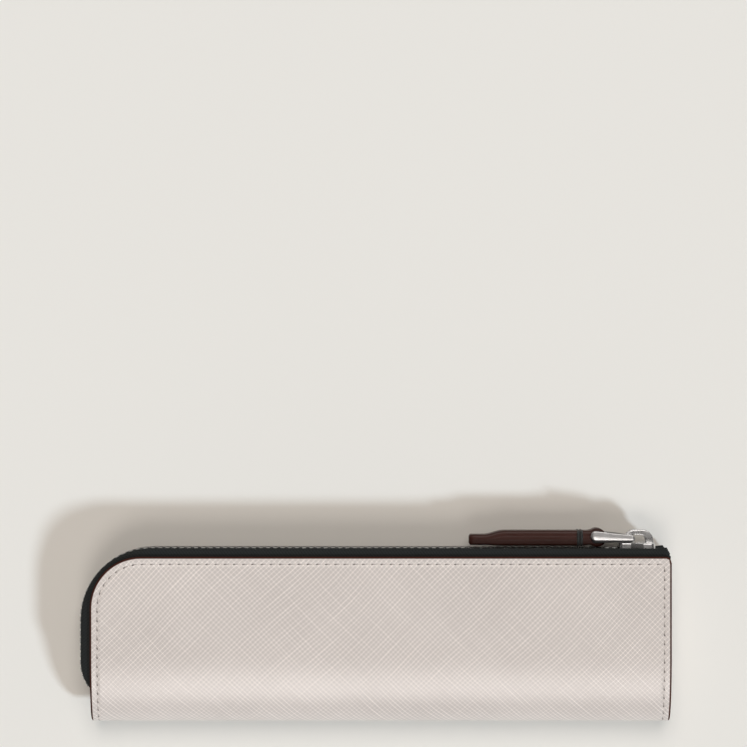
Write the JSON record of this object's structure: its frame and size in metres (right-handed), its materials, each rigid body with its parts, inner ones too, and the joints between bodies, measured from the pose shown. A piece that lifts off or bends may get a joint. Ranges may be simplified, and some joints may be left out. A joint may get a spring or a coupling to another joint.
{
  "type": "zipped pen sleeve",
  "caption": "Slim folded leather sleeve for one pen, closed by a metal zip along the top and round one corner, with a slider that travels and a leather pull that swings on a metal link.",
  "frame": {"origin": "middle of the sleeve's length and height, on the flat outer face of the back panel", "axes": "+X along the length towards the sewn end and the closed slider, +Y from the fold to the zip, +Z from the back panel to the front panel"},
  "size_m": [0.1688, 0.0554, 0.016],
  "materials": {
    "leather": "embossed cross-hatch grain, pale ivory, brown painted edges",
    "padding": "felted interlining",
    "lining": "woven, dark brown",
    "gusset": "smooth, pale ivory",
    "tape": "herringbone weave, charcoal",
    "teeth": "dark plated",
    "seam_thread": "waxed thread, ivory",
    "slider": "satin to polished silver",
    "strap": "smooth, dark brown, semi-gloss",
    "wrap_thread": "waxed thread, charcoal"
  },
  "bodies": {
    "sleeve": {"outer_shell": "leather", "padding": "padding", "lining": "lining", "end_gusset": "gusset", "front_tape": "tape", "back_tape": "tape", "front_teeth": "teeth", "back_teeth": "teeth", "closing_stops": "teeth", "opening_stop": "teeth", "front_zip_seam": "seam_thread", "back_zip_seam": "seam_thread", "side_seam": "seam_thread"},
    "slider": {"slider_body": "slider", "slider_crown": "slider"},
    "link": {"pull_link": "slider"},
    "pull": {"pull_strap": "strap", "pull_core": "strap", "pull_thread": "wrap_thread"}
  },
  "joints": [
    {"name": "slider_slide", "type": "slide", "parent": "sleeve", "child": "slider", "axis": [1, 0, 0], "range_m": [-0.13, 0], "deforming": ["front_teeth", "back_teeth"]},
    {"name": "link_swing", "type": "hinge", "parent": "slider", "child": "link", "pos_m": [0.0717, 0.0285, 0.008], "axis": [0, 0, -1], "range_deg": [0, 125]},
    {"name": "strap_swing", "type": "hinge", "parent": "link", "child": "pull", "pos_m": [0.06185, 0.02895, 0.008], "axis": [0, 0, -1], "range_deg": [0, 45]}
  ]
}
